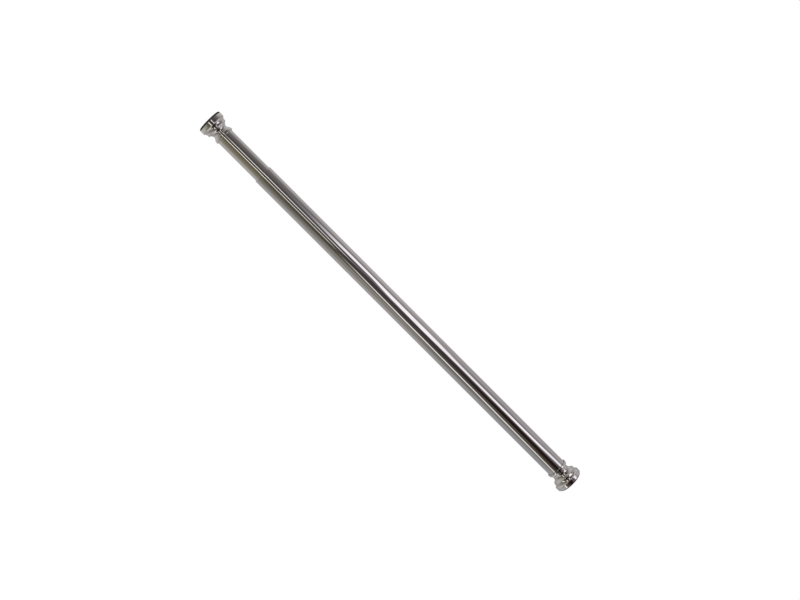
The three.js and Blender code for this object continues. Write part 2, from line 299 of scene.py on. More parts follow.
# %% [markdown]
# ## The flanges
#
# From the tube outwards a flange has a rounded bead, a hollow neck thinner than the tube, a
# sharp step out to a plain ring, a cove, and the wide crowned rim. Behind the face is the seat
# of the rubber, the chamber of the screw's head and the web that the screw pulls on. The same
# outline serves both ends: at the sliding foot it runs the other way along the bar.

# %% Flanges
def flange_outline(form, tube_radius, length):
    """The closed outline of a flange, with its lip at 0 and its face at length."""
    socket = tube_radius + SOCKET_GAP
    bead = socket + form["collar_wall"]
    neck = bead - form["neck_dip"]
    flare = neck + form["flare_rise"]
    ring = bead + form["ring_step"]
    rim = ring + form["rim_step"]
    side = rim - form["crown"]
    neck_at = form["bead"] + form["neck"]
    step_at = neck_at + form["flare"]
    flare_turn = (neck_at + form["flare"] * FLARE_TURN, neck)
    ring_end = step_at + form["ring"]
    rim_start = ring_end + form["cove"]
    along, out = form["cove_turn"]
    cove_turn = (ring_end + along * form["cove"], ring + out * (side - ring))
    socket_floor = form["socket"]
    seat_floor = length - PAD_SEAT
    seat_wall = form["seat"] + SOCKET_GAP
    lip = form["lip"]

    outline = [(lip, socket), (lip, socket + form["lip_wall"])]
    outline += bend(outline[-1], (lip, bead), (lip + form["lip_run"], bead), LIP_STEPS)
    outline += level_run(outline[-1], (form["bead"], bead))
    outline += ess(outline[-1], (neck_at, neck), NECK_STEPS)
    outline += bend(outline[-1], flare_turn, (step_at, flare), BOW_STEPS)
    outline.append((step_at, ring - RING_EDGE))
    outline += bend(outline[-1], (step_at, ring), (step_at + RING_EDGE, ring), EDGE_STEPS)
    outline += level_run(outline[-1], (ring_end, ring))
    outline += bend(outline[-1], cove_turn, (rim_start, side), COVE_STEPS)
    edge = form["rim_edge"]
    rim_turn = ((rim_start + length - edge) / 2, rim + form["crown"])
    outline += bend(outline[-1], rim_turn, (length - edge, side), BOW_STEPS)
    outline += bend(outline[-1], (length, side), (length, side - edge), FACE_STEPS)
    outline += [
        (length, seat_wall),
        (seat_floor, seat_wall),
        (seat_floor, CHAMBER_RADIUS),
        (socket_floor + WEB, CHAMBER_RADIUS),
        (socket_floor + WEB, SCREW_HOLE),
        (socket_floor, SCREW_HOLE),
        (socket_floor, socket),
        (lip, socket),
    ]
    return outline


def placed(outline, lip_x, way):
    """The outline moved to its lip's place, running towards +X or -X."""
    return [(lip_x + way * along, radius) for along, radius in outline]


fixed_low, fixed_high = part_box("fixed_flange")
fixed_flange = spun(
    "fixed_flange_turned",
    placed(flange_outline(FIXED_FORM, OUTER_RADIUS, fixed_high.x - fixed_low.x), fixed_low.x, 1),
)
hand_over(fixed_flange, "fixed_foot", "chrome_plate", "fixed_flange")

sliding_low, sliding_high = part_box("sliding_flange")
sliding_flange = spun(
    "sliding_flange_turned",
    placed(
        flange_outline(SLIDING_FORM, INNER_RADIUS, sliding_high.x - sliding_low.x),
        sliding_high.x,
        -1,
    ),
)
hand_over(sliding_flange, "sliding_tube", "chrome_plate", "sliding_flange")


# %% [markdown]
# ## The rubber faces
#
# Each face is a moulded disc, plugged into the flange's chamber. Its edge is rounded, and its
# grip comes from round grooves with soft shoulders between the edge and the flat middle.

# %% Rubber faces
PAD_PLUG = 3.0 * MM
GROOVES = 3
GROOVE_WIDTH = 1.0 * MM
GROOVE_DEPTH = 0.7 * MM


def pad_outline(form, length):
    """A pad of that whole length, back at 0: plug, disc in the seat, and brim on the rim."""
    radius, seat_radius, edge = form["brim"], form["seat"], form["pad_edge"]
    plug = CHAMBER_RADIUS - SOCKET_GAP
    rim = length - form["pad_proud"]
    outline = [(0, 0), (0, plug), (PAD_PLUG, plug), (PAD_PLUG, seat_radius)]
    outline += [(rim, seat_radius), (rim, radius), (length - edge, radius)]
    outline += bend(outline[-1], (length, radius), (length, radius - edge), LIP_STEPS)
    pitch = (radius - plug) / (GROOVES + 1)
    for groove in range(1, GROOVES + 1):
        middle = radius - groove * pitch
        outer = (length, middle + GROOVE_WIDTH / 2)
        bottom = (length - GROOVE_DEPTH, middle)
        inner = (length, middle - GROOVE_WIDTH / 2)
        outline.append(outer)
        outline += bend(outer, (bottom[0], outer[1]), bottom, GROOVE_STEPS)
        outline += bend(bottom, (bottom[0], inner[1]), inner, GROOVE_STEPS)
    outline.append((length, 0))
    return outline


def pad(name, solid, form, way):
    """The rubber face that fills the box of that solid, facing +X (1) or -X (-1)."""
    low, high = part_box(solid)
    outline = pad_outline(form, high.x - low.x)
    return spun(name, placed(outline, low.x if way > 0 else high.x, way))


fixed_pad = pad("fixed_pad_moulded", "fixed_pad", FIXED_FORM, 1)
hand_over(fixed_pad, "fixed_foot", "black_rubber", "fixed_pad")

sliding_pad = pad("sliding_pad_moulded", "sliding_pad", SLIDING_FORM, -1)
hand_over(sliding_pad, "sliding_tube", "black_rubber", "sliding_pad")

# %% [markdown]
# ## Node helpers
#
# A material is a small graph. These helpers add a node, set its values by name and give back
# the socket that the next node reads.

# %% Node helpers
def feed(tree, socket, entry):
    """Links another node's socket into this one, or sets this one to a plain value."""
    if isinstance(entry, bpy.types.NodeSocket):
        tree.links.new(entry, socket)
    else:
        socket.default_value = entry


def node(tree, kind, group=None, **inputs):
    """A new node of that kind. Keyword values feed its inputs, with _ for a space."""
    made = tree.nodes.new(kind)
    if group:
        made.node_tree = group
    for name, entry in inputs.items():
        feed(tree, made.inputs[name.replace("_", " ")], entry)
    return made


def calc(tree, operation, *values):
    """The result socket of a Math node."""
    made = tree.nodes.new("ShaderNodeMath")
    made.operation = operation
    for socket, value in zip(made.inputs, values):
        feed(tree, socket, value)
    return made.outputs[0]


def ramped(tree, value, from_low, from_high, to_low, to_high, smooth=False):
    """A Map Range: the value carried from one range to another, and held at its ends."""
    made = tree.nodes.new("ShaderNodeMapRange")
    made.interpolation_type = "SMOOTHSTEP" if smooth else "LINEAR"
    for socket, entry in zip(made.inputs, (value, from_low, from_high, to_low, to_high)):
        feed(tree, socket, entry)
    return made.outputs["Result"]


def mixed(tree, factor, below, above):
    """The colour below, with the colour above laid over it by the factor."""
    made = tree.nodes.new("ShaderNodeMix")
    made.data_type = "RGBA"
    for name, entry in (("Factor", factor), ("A", below), ("B", above)):
        feed(tree, next(s for s in made.inputs if s.name == name and s.enabled), entry)
    return next(s for s in made.outputs if s.enabled)


# %% [markdown]
# ### Groups and materials
#
# An effect that more than one finish uses is a node group with named inputs. A material starts
# empty, with only the shader that it needs, so that nothing in it is left over.

# %% Groups and materials
def new_group(name, inputs, outputs):
    """An empty node group with inputs {name: default} and float outputs."""
    tree = bpy.data.node_groups.new(name, "ShaderNodeTree")
    for label, value in inputs.items():
        kind = "NodeSocketVector" if isinstance(value, tuple) else "NodeSocketFloat"
        socket = tree.interface.new_socket(label, in_out="INPUT", socket_type=kind)
        socket.default_value = value
    for label in outputs:
        tree.interface.new_socket(label, in_out="OUTPUT", socket_type="NodeSocketFloat")
    return tree, tree.nodes.new("NodeGroupInput"), tree.nodes.new("NodeGroupOutput")


def placed_group(tree, group, **inputs):
    """A group node with its inputs set or linked."""
    return node(tree, "ShaderNodeGroup", group, **inputs)


def object_place(tree):
    """The point's place in the piece's own coordinates."""
    return tree.nodes.new("ShaderNodeTexCoord").outputs["Object"]


def empty_material(name):
    """A material with only an output: the material, its tree and the surface to feed."""
    material = bpy.data.materials.new(name)
    material.use_nodes = True
    tree = material.node_tree
    tree.nodes.clear()
    return material, tree, tree.nodes.new("ShaderNodeOutputMaterial").inputs["Surface"]


def new_material(name):
    """A material with a Principled shader only, and that shader."""
    material, tree, surface = empty_material(name)
    shader = tree.nodes.new("ShaderNodeBsdfPrincipled")
    tree.links.new(shader.outputs["BSDF"], surface)
    return material, tree, shader


# %% [markdown]
# ## Finishes
#
# Chrome is a metal with hardly any colour or roughness of its own. What makes it real is the
# little that is wrong with it: polishing marks that follow the way the piece was worked, and
# faint smudges from hands. Both are node groups, because the steel parts need them too.

# %% Shared surface effects
def build_polish():
    """Fine lines: noise on Object coordinates, stretched by a scale for each direction."""
    tree, source, sink = new_group("polish_marks", {"Stretch": (1.0, 1.0, 1.0)}, ["Marks"])
    scaled = tree.nodes.new("ShaderNodeVectorMath")
    scaled.operation = "MULTIPLY"
    feed(tree, scaled.inputs[0], object_place(tree))
    feed(tree, scaled.inputs[1], source.outputs["Stretch"])
    noise = node(tree, "ShaderNodeTexNoise", Vector=scaled.outputs[0], Scale=1.0, Detail=3.0)
    tree.links.new(ramped(tree, noise.outputs["Fac"], 0.3, 0.7, 0.0, 1.0), sink.inputs["Marks"])
    return tree


def build_smudges():
    """Soft blotches a few centimetres long, where hands or dust have dulled the surface."""
    tree, source, sink = new_group("smudges", {"Size": 0.03, "Spread": 0.5}, ["Dull"])
    place = object_place(tree)
    density = calc(tree, "DIVIDE", 1.0, source.outputs["Size"])
    noise = node(tree, "ShaderNodeTexNoise", Vector=place, Scale=density, Detail=4.0)
    edge = calc(tree, "SUBTRACT", 1.0, source.outputs["Spread"])
    dull = ramped(tree, noise.outputs["Fac"], edge, 1.0, 0.0, 1.0, smooth=True)
    tree.links.new(dull, sink.inputs["Dull"])
    return tree


POLISH = build_polish()
SMUDGES = build_smudges()
print("surface effects:", POLISH.name, "and", SMUDGES.name)


# %% [markdown]
# ### Metals
#
# The chrome of the tubes and of the flanges is the same plate, but a tube is polished along its
# length and a flange on the lathe, so the marks are stretched another way on each. The hidden
# screws, plugs and nuts are zinc-plated steel. One function makes all three, because a bare
# metal is only a tone, a roughness and a few marks.

# %% Metals
HAND_SIZE, HAND_SPREAD = 0.03, 0.52
CHROME_TONE = 0.78


def metal(name, tone, dull_tone, stretch, rough, rough_marks, rough_smudge, bump_mm):
    """A bare metal: its tone and roughness drift with the polishing marks and the smudges."""
    material, tree, shader = new_material(name)
    marks = placed_group(tree, POLISH, Stretch=stretch).outputs["Marks"]
    dull = placed_group(tree, SMUDGES, Size=HAND_SIZE, Spread=HAND_SPREAD).outputs["Dull"]
    tree.links.new(mixed(tree, dull, (*tone, 1), (*dull_tone, 1)), shader.inputs["Base Color"])
    roughness = calc(tree, "MULTIPLY_ADD", marks, rough_marks, rough)
    roughness = calc(tree, "MULTIPLY_ADD", dull, rough_smudge, roughness)
    tree.links.new(roughness, shader.inputs["Roughness"])
    bump = node(tree, "ShaderNodeBump", Height=marks, Distance=bump_mm * MM, Strength=1.0)
    tree.links.new(bump.outputs["Normal"], shader.inputs["Normal"])
    shader.inputs["Metallic"].default_value = 1.0
    return material


chrome_args = dict(
    tone=(CHROME_TONE, CHROME_TONE, CHROME_TONE * 1.01),
    dull_tone=(0.7, 0.7, 0.69),
    rough=0.035,
    rough_marks=0.02,
    rough_smudge=0.08,
    bump_mm=0.0001,
)
tube_chrome = metal("chrome_drawn_tube", stretch=(18, 1500, 1500), **chrome_args)
flange_chrome = metal("chrome_turned_flange", stretch=(1800, 60, 60), **chrome_args)
hardware_steel = metal(
    "zinc_plated_steel",
    tone=(0.60, 0.61, 0.62),
    dull_tone=(0.50, 0.49, 0.45),
    stretch=(900, 300, 300),
    rough=0.28,
    rough_marks=0.12,
    rough_smudge=0.2,
    bump_mm=0.002,
)
print("metals:", tube_chrome.name, flange_chrome.name, hardware_steel.name)

# %% [markdown]
# ### Rubber and nylon
#
# The feet are black rubber with a fine grain from the mould and a little pale dust. The grain is
# far too small to model, so it is a bump. The guide and the thrust washer inside are natural
# nylon, waxy and off-white, with faint rings from the lathe.

# %% Rubber and nylon
RUBBER_TONE = (0.03, 0.029, 0.028, 1)
DUST_TONE = (0.055, 0.052, 0.049, 1)
DUST_SIZE, DUST_SPREAD = 0.006, 0.5
RUBBER_ROUGH, DUST_ROUGH = 0.7, 0.15
GRAIN_SCALE = 2500.0
NYLON_TONES = ((0.80, 0.78, 0.72, 1), (0.86, 0.84, 0.80, 1))
NYLON_ROUGH, RING_ROUGH = 0.42, 0.1
BUMP_HEIGHT = 0.01 * MM


def build_rubber():
    """Matt black rubber with a fine moulded grain and a little pale dust."""
    material, tree, shader = new_material("black_rubber")
    dust = placed_group(tree, SMUDGES, Size=DUST_SIZE, Spread=DUST_SPREAD).outputs["Dull"]
    tint = mixed(tree, dust, RUBBER_TONE, DUST_TONE)
    tree.links.new(tint, shader.inputs["Base Color"])
    roughness = calc(tree, "MULTIPLY_ADD", dust, DUST_ROUGH, RUBBER_ROUGH)
    tree.links.new(roughness, shader.inputs["Roughness"])
    shader.inputs["Specular IOR Level"].default_value = 0.25
    place = object_place(tree)
    grain = node(tree, "ShaderNodeTexNoise", Vector=place, Scale=GRAIN_SCALE, Detail=2.0)
    height = grain.outputs["Fac"]
    bump = node(tree, "ShaderNodeBump", Height=height, Distance=BUMP_HEIGHT, Strength=0.6)
    tree.links.new(bump.outputs["Normal"], shader.inputs["Normal"])
    return material


def build_nylon():
    """Natural nylon: waxy off-white with faint machining rings."""
    material, tree, shader = new_material("natural_nylon")
    rings = placed_group(tree, POLISH, Stretch=(2500, 40, 40)).outputs["Marks"]
    tint = mixed(tree, rings, *NYLON_TONES)
    tree.links.new(tint, shader.inputs["Base Color"])
    roughness = calc(tree, "MULTIPLY_ADD", rings, RING_ROUGH, NYLON_ROUGH)
    tree.links.new(roughness, shader.inputs["Roughness"])
    bump = node(tree, "ShaderNodeBump", Height=rings, Distance=BUMP_HEIGHT, Strength=0.5)
    tree.links.new(bump.outputs["Normal"], shader.inputs["Normal"])
    return material


rubber = build_rubber()
nylon = build_nylon()
print("soft finishes:", rubber.name, nylon.name)

# %% [markdown]
# ### Giving each piece its finish
#
# The six pieces that can be seen were made here, and each takes its finish by name. The hidden
# pieces are still the frame's own solids, so theirs follows from the slot that the record
# names.

# %% Give each piece its finish
PIECE_FINISH = {
    tube_chrome: [outer_tube, inner_tube],
    flange_chrome: [fixed_flange, sliding_flange],
    rubber: [fixed_pad, sliding_pad],
}
for material, pieces in PIECE_FINISH.items():
    for piece in pieces:
        piece.data.materials.clear()
        piece.data.materials.append(material)

SLOT_FINISH = {
    "chrome_plate": tube_chrome,
    "zinc_steel": hardware_steel,
    "black_rubber": rubber,
    "white_nylon": nylon,
}
for row in frame["record"]["subparts"]:
    cad_node = frame["nodes"][row["node"]]
    for slot in cad_node.material_slots:
        slot.material = SLOT_FINISH[row["material_slot"]]

# %% [markdown]
# ## The tent round the bar
#
# Polished chrome shows its surroundings and nothing else, so the surroundings are half of its
# finish. The bar hangs in a long round tent with light and dark stretches on its wall. A point
# of the tube that is turned away from the lens by some angle shows the wall at twice that
# angle, so each stretch of the wall becomes one stripe along the tube.
#
# The wall shows in reflections only: the lens, the lamps and matt surfaces look through it.

# %% Tent sizes and tones
TENT_RADIUS = 1.9
TENT_HALF_LENGTH = 2.6
TENT_SIDES = 96


def on_tent(bar_x):
    """The place along the tent that the camera sees reflected at that place of the bar."""
    slope = (bar_x - camera_place.x) / -camera_place.y
    return bar_x + slope * TENT_RADIUS


def seen(red, green, blue):
    """The wall's brightness that reads on the chrome as this screen colour, 0 to 255."""
    tones = []
    for value in (red, green, blue):
        share = value / 255
        linear = share / 12.92 if share <= 0.04045 else ((share + 0.055) / 1.055) ** 2.4
        tones.append(linear / CHROME_TONE)
    return (*tones, 1)


# The stretch of tent in which the strips change, from two places of the bar's line in metres.
# Past it each strip runs straight on.
COURSE = (on_tent(-0.6), on_tent(0.9))
print("tent: %.1f m wide and %.1f m long" % (2 * TENT_RADIUS, 2 * TENT_HALF_LENGTH))

# %% [markdown]
# ### The plain wall
#
# Without its strips the wall is a ramp round the bar: dark behind the lens, where the room is
# dark, and lighter over, under and behind the bar. At the very back it turns dark, light and
# dark again. Only the outermost edges of the tubes see that part, and it draws their outline.

# %% Plain wall
# The angle round the bar, from straight behind the lens (0) up over the bar (+90) or down
# under it (-90) to straight behind the bar (180), and the tone that shows there.
WALL = [
    (-180, (96, 94, 92)),
    (-172, (205, 202, 198)),
    (-162, (110, 108, 106)),
    (-150, (158, 156, 154)),
    (-127, (156, 153, 151)),
    (-105, (151, 148, 145)),
    (-88, (134, 131, 126)),
    (-73, (113, 110, 104)),
    (-60, (107, 104, 98)),
    (-40, (81, 77, 66)),
    (-18, (74, 70, 62)),
    (0, (60, 56, 56)),
    (20, (72, 67, 69)),
    (35, (72, 67, 70)),
    (47, (82, 77, 80)),
    (60, (98, 92, 95)),
    (73, (102, 96, 98)),
    (88, (113, 108, 108)),
    (97, (138, 134, 134)),
    (105, (151, 147, 147)),
    (127, (166, 162, 161)),
    (150, (160, 157, 156)),
    (162, (104, 102, 101)),
    (172, (215, 212, 210)),
    (180, (96, 94, 92)),
]

# %% [markdown]
# ### The strips
#
# A window, two thin lines, dark gaps and lighter walls are strips that run along the tent. Each
# drifts and widens on its way, so its course is a row of knots, and a colour ramp carries the
# knots to the shader: the angle in red, the half width in green and the share in blue.
#
# Tones and knots were set for this one camera, from how bright the real tubes look at each
# place. They are no general recipe for chrome. From elsewhere the tent is just a striped room,
# and the pieces' own finish holds none of it.

# %% Strips
# Laid over the wall one after the other: what shows, how soft the edges are, and the course as
# (millimetres along the bar, angle of the middle, half width, share).
STRIPS = [
    # the lighter upper wall
    ((166, 160, 160), 12, [(-200, 105, 21, 0.0), (-90, 105, 21, 0.62), (60, 102, 24, 0.55),
                           (150, 102, 24, 0.0)]),
    ((152, 147, 147), 12, [(60, 114, 34, 0.0), (150, 114, 34, 0.9), (270, 114, 34, 0.9),
                           (335, 114, 34, 0.7)]),
    ((190, 186, 184), 12, [(-150, 122, 14, 0.0), (-100, 122, 14, 0.4), (0, 122, 14, 0.3),
                           (60, 122, 14, 0.0)]),
    # the lighter lower wall, and its greyer back
    ((140, 139, 142), 15, [(0, -113, 32, 0.0), (60, -113, 32, 0.25), (130, -113, 32, 0.55),
                           (240, -112, 32, 0.85), (310, -112, 32, 0.95),
                           (345, -112, 32, 0.5)]),
    ((142, 136, 128), 8, [(-190, -63, 11, 0.0), (-60, -62, 13, 0.57), (40, -62, 13, 0.62),
                          (90, -64, 12, 0.1), (170, -64, 12, 0.1), (230, -64, 12, 0.24)]),
    ((88, 82, 78), 8, [(90, -56, 6, 0.0), (130, -56, 6, 0.38), (165, -56, 6, 0.42),
                       (200, -56, 6, 0.0)]),
    # the still lighter walls past the bar's two ends
    ((190, 186, 184), 15, [(-345, 120, 45, 0.5), (-318, 120, 45, 0.0)]),
    ((185, 182, 176), 15, [(-345, -105, 60, 0.45), (-318, -105, 60, 0.0)]),
    ((182, 177, 174), 10, [(318, 84, 28, 0.0), (338, 84, 28, 0.5)]),
    ((182, 177, 172), 10, [(318, -84, 28, 0.0), (338, -84, 28, 0.5)]),
    ((205, 200, 198), 15, [(640, 112, 45, 0.0), (760, 112, 45, 0.55)]),
    ((205, 202, 192), 15, [(640, -100, 55, 0.0), (760, -100, 55, 0.55)]),
    # the warmer wall towards the sliding foot
    ((96, 92, 74), 15, [(-250, 64, 20, 0.35), (-160, 64, 20, 0.0)]),
    ((165, 158, 152), 12, [(-310, 108, 9, 0.45), (-256, 108, 9, 0.45), (-248, 108, 9, 0.0)]),
    ((60, 55, 52), 8, [(-310, 44, 7, 0.28), (-285, 44, 7, 0.28), (-260, 44, 7, 0.05),
                       (-248, 44, 7, 0.0)]),
    ((142, 131, 92), 12, [(-350, -52, 22, 0.12), (-318, -52, 22, 0.3), (-262, -52, 22, 0.27),
                          (-240, -52, 22, 0.07), (-200, -52, 22, 0.0)]),
    ((190, 182, 165), 12, [(-262, -117, 34, 0.28), (-248, -117, 34, 0.0)]),
    # the dark stretch round the lens, past the ends of the two lines
    ((60, 55, 55), 6, [(-103, 2, 26, 0.0), (-84, 2, 26, 1.0), (300, -4, 24, 1.0)]),
    ((56, 46, 40), 8, [(110, -12, 14, 0.0), (210, -12, 14, 0.5), (320, -12, 16, 0.9)]),
    ((30, 18, 15), 9, [(60, 3, 13, 0.0), (125, 3, 13, 0.44), (170, 3, 13, 0.88),
                       (250, 3.5, 14, 1.0)]),
    ((58, 53, 48), 8, [(-210, -33, 7, 0.0), (-170, -33, 7, 0.3), (-118, -35, 8, 0.55),
                       (-92, -38, 7, 0.5), (-66, -38, 6, 0.0)]),
    # the two thin lines beside the lens, only towards the sliding foot
    ((243, 240, 238), 1.7, [(-348, 14.6, 3.0, 1.0), (-334, 14.6, 3.0, 0.4),
                            (-322, 15.2, 3.0, 0.4), (-311, 15.8, 3.2, 1.0),
                            (-262, 15.5, 3.4, 1.0), (-244, 14.6, 3.3, 1.0),
                            (-160, 14.3, 3.1, 0.97), (-146, 14.0, 3.0, 0.88),
                            (-104, 13.8, 3.0, 0.92), (-84, 13.8, 3.0, 0.3),
                            (-63, 14, 3.0, 0.1), (-45, 14, 3.0, 0.0)]),
    ((255, 248, 232), 1.7, [(-285, -13.9, 3.4, 1.0), (-256, -13.2, 3.4, 1.0),
                            (-240, -12.8, 3.0, 0.84), (-205, -12.8, 3.0, 0.84),
                            (-177, -12.8, 3.0, 0.77), (-124, -12.8, 3.0, 0.73),
                            (-108, -12.8, 3.0, 0.0)]),
    # the faint glow along the window's lower edge, and the one above the lower line
    ((150, 143, 148), 7, [(-90, 26, 4.5, 0.0), (-64, 26, 4.5, 0.42), (-36, 25.5, 4.5, 0.5),
                          (-6, 24, 5.5, 0.6), (20, 22, 5, 0.06), (45, 20, 6, 0.0),
                          (75, 20, 6, 0.0), (105, 20, 6, 0.04), (135, 20, 6, 0.03),
                          (188, 20, 6, 0.1), (216, 22, 6, 0.03), (250, 24, 6, 0.06),
                          (300, 26, 5.5, 0.27), (335, 26, 5.5, 0.2)]),
    ((120, 108, 104), 4, [(-50, -18, 5, 0.0), (0, -18, 5, 0.16), (150, -19, 4, 0.13),
                          (185, -21.5, 4, 0.32), (240, -22.5, 3.5, 0.32),
                          (270, -22.5, 3.5, 0.32), (295, -22.5, 3.5, 0.0)]),
    # the window: a wedge that widens to a broad light strip
    ((186, 180, 182), 10, [(-20, 68, 12, 0.0), (20, 68, 12, 0.08), (47, 67, 12, 0.2),
                           (75, 67.5, 12.5, 0.42), (103, 68, 12, 0.42), (132, 70, 12, 0.22),
                           (160, 72, 12, 0.1), (210, 78, 9, 0.08), (244, 80, 8, 0.32),
                           (272, 82, 7, 0.42), (300, 80, 7, 0.24), (335, 76, 8, 0.05)]),
    ((250, 243, 246), 6, [(-230, 54, 11, 0.0), (-205, 54, 11, 0.04), (-167, 54, 12, 0.12),
                          (-146, 53, 13, 0.32), (-125, 52, 13.5, 0.57),
                          (-105, 51.7, 13.9, 0.88), (-84, 53.3, 13.7, 1.0),
                          (-42, 54, 12.5, 1.0), (-14, 47.4, 17.6, 1.0), (20, 46, 19.2, 1.0),
                          (56, 45, 20.2, 1.0), (91, 45.5, 17.2, 0.97), (126, 43.5, 12.6, 0.9),
                          (168, 43.4, 11.9, 0.88), (210, 44, 12.2, 0.94),
                          (253, 44, 11.6, 1.0), (289, 46.4, 12.4, 0.95),
                          (317, 53, 12.6, 0.84), (345, 52.5, 9, 0.95), (430, 53, 8.5, 0.9),
                          (560, 62, 10, 0.3)]),
    ((250, 243, 246), 3, [(-195, 44.5, 2.5, 0.0), (-177, 44.5, 2.5, 0.05),
                          (-148, 44.5, 2.5, 0.14), (-120, 44.5, 2.5, 0.28),
                          (-92, 44.5, 2.5, 0.05), (-70, 44.5, 2.5, 0.0)]),
    # the thin light line under the dark stretch
    ((250, 244, 242), 2.2, [(-104, -28, 4.0, 0.0), (-84, -28, 4.2, 0.26),
                            (-63, -29, 4.3, 0.7), (-42, -31, 4.3, 0.84),
                            (-14, -33, 4.6, 0.92), (20, -35.2, 4.8, 1.0), (56, -36.5, 4.8, 1.0),
                            (91, -38.6, 4.6, 1.0), (126, -40.2, 4.6, 1.0),
                            (168, -42.6, 4.6, 1.0), (190, -44.4, 4.8, 1.0), (210, -45.8, 4.7, 1.0),
                            (290, -50, 4.3, 0.96), (320, -52, 4.3, 0.88),
                            (470, -53, 4.6, 1.0), (600, -68, 5.0, 1.0)]),
]
print("tent: %d strips" % len(STRIPS))

# %% [markdown]
# ### The ends of the tent
#
# The two ends are closed by cloths. They matter when the bar is looked at along its length,
# and in the steep parts of the flanges, which turn towards an end. An even cloth would make
# those parts flat, so each cloth is darker at the bar's height and has two light openings.

# %% End cloths
# An olive cloth towards the sliding foot and a grey one behind the fixed foot: where each sets
# in along the tent and across it, the tone of its middle and the tone of its top and bottom.
CLOTHS = [
    ((-0.9 * TENT_HALF_LENGTH, -0.98 * TENT_HALF_LENGTH), (-TENT_RADIUS, -TENT_RADIUS + 0.1),
     (91, 88, 79), (151, 147, 137)),
    ((0.97 * TENT_HALF_LENGTH, 0.99 * TENT_HALF_LENGTH), (-0.45, 0.05),
     (95, 88, 90), (160, 155, 153)),
]
CLOTH_RISE = 0.6 * TENT_RADIUS
# The openings: their tone, height over and under the bar, half size across and up, and edge.
OPENING_TONE = (205, 203, 198)
OPENING_HEIGHT = 0.6
OPENING_HALF = (0.2, 0.24)
OPENING_SOFT = 0.16
print("tent: %d end cloths" % len(CLOTHS))


# %% [markdown]
# ### A strip as nodes
#
# Every strip needs the same mask: full within its half width, and fading over its soft edge.
# It is a node group, placed once for each strip with that strip's values. The values change
# along the tent, and a colour ramp is the one node that can hold such a list of knots.

# %% Strip nodes
def build_strip():
    """A soft-edged strip of the wall, by its middle angle, half width and share."""
    inputs = {"Angle": 0.0, "Middle": 0.0, "Half": 10.0, "Soft": 4.0, "Share": 1.0}
    tree, source, sink = new_group("tent_strip", inputs, ["Mask"])
    g = source.outputs
    off = calc(tree, "ABSOLUTE", calc(tree, "SUBTRACT", g["Angle"], g["Middle"]))
    inner_edge = calc(tree, "SUBTRACT", g["Half"], g["Soft"])
    outer_edge = calc(tree, "ADD", g["Half"], g["Soft"])
    across = ramped(tree, off, inner_edge, outer_edge, 1.0, 0.0, smooth=True)
    tree.links.new(calc(tree, "MULTIPLY", across, g["Share"]), sink.inputs["Mask"])
    return tree


def read_ramp(tree, value, stops):
    """The colour that a ramp with these (place, colour) stops gives for the value."""
    ramp = node(tree, "ShaderNodeValToRGB", Fac=value)
    elements = ramp.color_ramp.elements
    while len(elements) < len(stops):
        elements.new(0.5)
    for element, (place, colour) in zip(elements, stops):
        element.position = place
        element.color = colour
    return ramp.outputs["Color"]


def course_of(tree, along, knots):
    """The middle, half width and share of a strip at this place of the tent."""
    start, end = COURSE
    stops = []
    for bar_mm, middle, half, share in knots:
        place = (on_tent(bar_mm * MM) - start) / (end - start)
        stops.append((place, ((middle + 180) / 360, half / 180, share, 1)))
    read = read_ramp(tree, along, stops)
    parts = node(tree, "ShaderNodeSeparateColor", Color=read).outputs
    middle = ramped(tree, parts["Red"], 0.0, 1.0, -180.0, 180.0)
    half = calc(tree, "MULTIPLY", parts["Green"], 180.0)
    return {"Middle": middle, "Half": half, "Share": parts["Blue"]}


# %% [markdown]
# ### The whole shader
#
# The shader first turns a point of the wall into an angle round the bar and a place along it.
# Then it reads the plain wall, lays each strip over it by the strip's mask, and closes the ends.

# %% Tent shader
def striped_wall(tree, axes):
    """The colour of the round wall: its plain ramp under all the strips."""
    turn = calc(tree, "ARCTAN2", axes["Z"], calc(tree, "MULTIPLY", axes["Y"], -1.0))
    angle = calc(tree, "DEGREES", turn)
    along = ramped(tree, axes["X"], *COURSE, 0.0, 1.0)
    stops = [((at + 180) / 360, seen(*tone)) for at, tone in WALL]
    colour = read_ramp(tree, ramped(tree, angle, -180.0, 180.0, 0.0, 1.0), stops)
    group = build_strip()
    for tone, soft, knots in STRIPS:
        course = course_of(tree, along, knots)
        strip = placed_group(tree, group, Angle=angle, Soft=soft, **course)
        colour = mixed(tree, strip.outputs["Mask"], colour, seen(*tone))
    return colour


def opening_mask(tree, axes, height):
    """How far a point of an end lies inside one of its two light openings."""
    away = calc(tree, "ABSOLUTE", calc(tree, "SUBTRACT", height, OPENING_HEIGHT))
    opening = 1.0
    for distance, half in zip((calc(tree, "ABSOLUTE", axes["Y"]), away), OPENING_HALF):
        inside = ramped(tree, distance, half - OPENING_SOFT, half + OPENING_SOFT, 1.0, 0.0)
        opening = calc(tree, "MULTIPLY", inside, opening)
    return opening


def closed_ends(tree, axes, colour):
    """The colour with both end cloths laid over it."""
    height = calc(tree, "ABSOLUTE", axes["Z"])
    rise = ramped(tree, height, 0.0, CLOTH_RISE, 0.0, 1.0)
    opening = opening_mask(tree, axes, height)
    for along_span, across_span, middle, edge in CLOTHS:
        cloth = mixed(tree, rise, seen(*middle), seen(*edge))
        cloth = mixed(tree, opening, cloth, seen(*OPENING_TONE))
        set_in = ramped(tree, axes["X"], *along_span, 0.0, 1.0)
        reach = ramped(tree, axes["Y"], *across_span, 0.0, 1.0)
        colour = mixed(tree, calc(tree, "MULTIPLY", set_in, reach), colour, cloth)
    return colour


